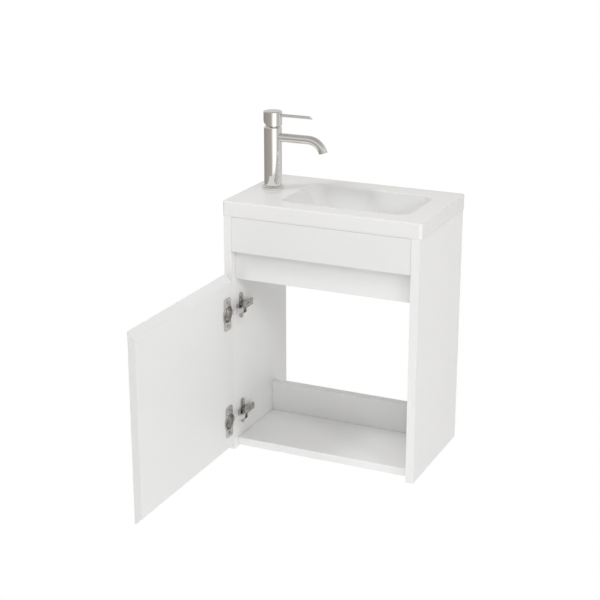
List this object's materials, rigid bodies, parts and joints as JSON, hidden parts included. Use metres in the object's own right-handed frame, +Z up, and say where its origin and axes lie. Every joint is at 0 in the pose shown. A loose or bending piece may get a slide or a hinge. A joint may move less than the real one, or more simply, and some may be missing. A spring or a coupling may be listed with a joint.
{
  "type": "wall-hung bathroom vanity unit",
  "caption": "Compact wall-hung white vanity cabinet with open back, side-hinged inset door, slab basin with offset bowl and a lever mixer tap.",
  "frame": {"origin": "on the wall plane behind the hanging rail, midway between the two wall screw holes", "axes": "+Z up, +Y into the wall, +X to the right as seen by someone facing the unit"},
  "size_m": [0.406, 0.6165, 0.67],
  "materials": {
    "board": "satin white foil on particle board",
    "door": "satin white painted board",
    "basin": "gloss white",
    "chrome": "polished",
    "nickel": "nickel plated, satin",
    "zinc_screw": "zinc plated",
    "beech": "plain beech",
    "zinc_cast": "die cast zinc",
    "brass": "machined",
    "rubber": "matt black",
    "white_plastic": "satin white",
    "cartridge_plastic": "matt"
  },
  "bodies": {
    "cabinet": {"left_side_panel": "board", "right_side_panel": "board", "bottom_shelf": "board", "lower_back_rail": "board", "upper_hanging_rail": "board", "front_fascia": "door", "recess_rail": "board", "carcass_dowels": "beech", "cam_lock_drums": "zinc_cast", "cam_lock_bolts": "zinc_screw", "fascia_screws": "zinc_screw", "basin": "basin", "waste_body": "chrome", "waste_upper_seal": "rubber", "waste_cone_washer": "rubber", "waste_nut": "white_plastic", "tap_base_ring": "chrome", "tap_body": "chrome", "tap_spout": "chrome", "spout_aerator": "cartridge_plastic", "tap_cartridge": "cartridge_plastic", "cartridge_nut": "brass", "tap_clamp_gasket": "rubber", "tap_clamp_plate": "zinc_screw", "tap_clamp_stud": "brass", "tap_clamp_nut": "brass", "hinge_mounting_plates": "nickel", "hinge_plate_screws": "zinc_screw", "hinge_arms": "nickel", "hinge_arm_screws": "zinc_screw", "hinge_pins": "zinc_screw"},
    "door": {"door_panel": "door", "hinge_cups": "nickel", "hinge_cup_screws": "zinc_screw"},
    "hinge_links": {"hinge_links": "nickel"},
    "handle_swivel": {"cartridge_spindle": "brass", "handle_pivot_pin": "zinc_screw"},
    "handle": {"handle_cap": "chrome", "lever_rod": "chrome", "handle_grub_screw": "zinc_screw"},
    "plug": {"waste_plug": "chrome"}
  },
  "joints": [
    {"name": "door_swing", "type": "hinge", "parent": "cabinet", "child": "door", "pos_m": [-0.192, -0.243, -0.2555], "axis": [0, 0, 1], "range_deg": [-8, 90]},
    {"name": "hinge_link_swing", "type": "hinge", "parent": "cabinet", "child": "hinge_links", "pos_m": [-0.167, -0.237, -0.2555], "axis": [0, 0, 1], "range_deg": [-12.5, 135]},
    {"name": "handle_turn", "type": "hinge", "parent": "cabinet", "child": "handle_swivel", "pos_m": [-0.158, -0.114, 0.2], "axis": [0, 0, 1], "range_deg": [-45, 45]},
    {"name": "handle_lift", "type": "hinge", "parent": "handle_swivel", "child": "handle", "pos_m": [-0.158, -0.114, 0.206], "axis": [0, -1, 0], "range_deg": [0, 18]},
    {"name": "plug_lift", "type": "slide", "parent": "cabinet", "child": "plug", "axis": [0, 0, 1], "range_m": [0, 0.006]}
  ],
  "couplings": [
    {"joint": "hinge_link_swing", "follows": "door_swing", "ratio": 1.4889}
  ]
}
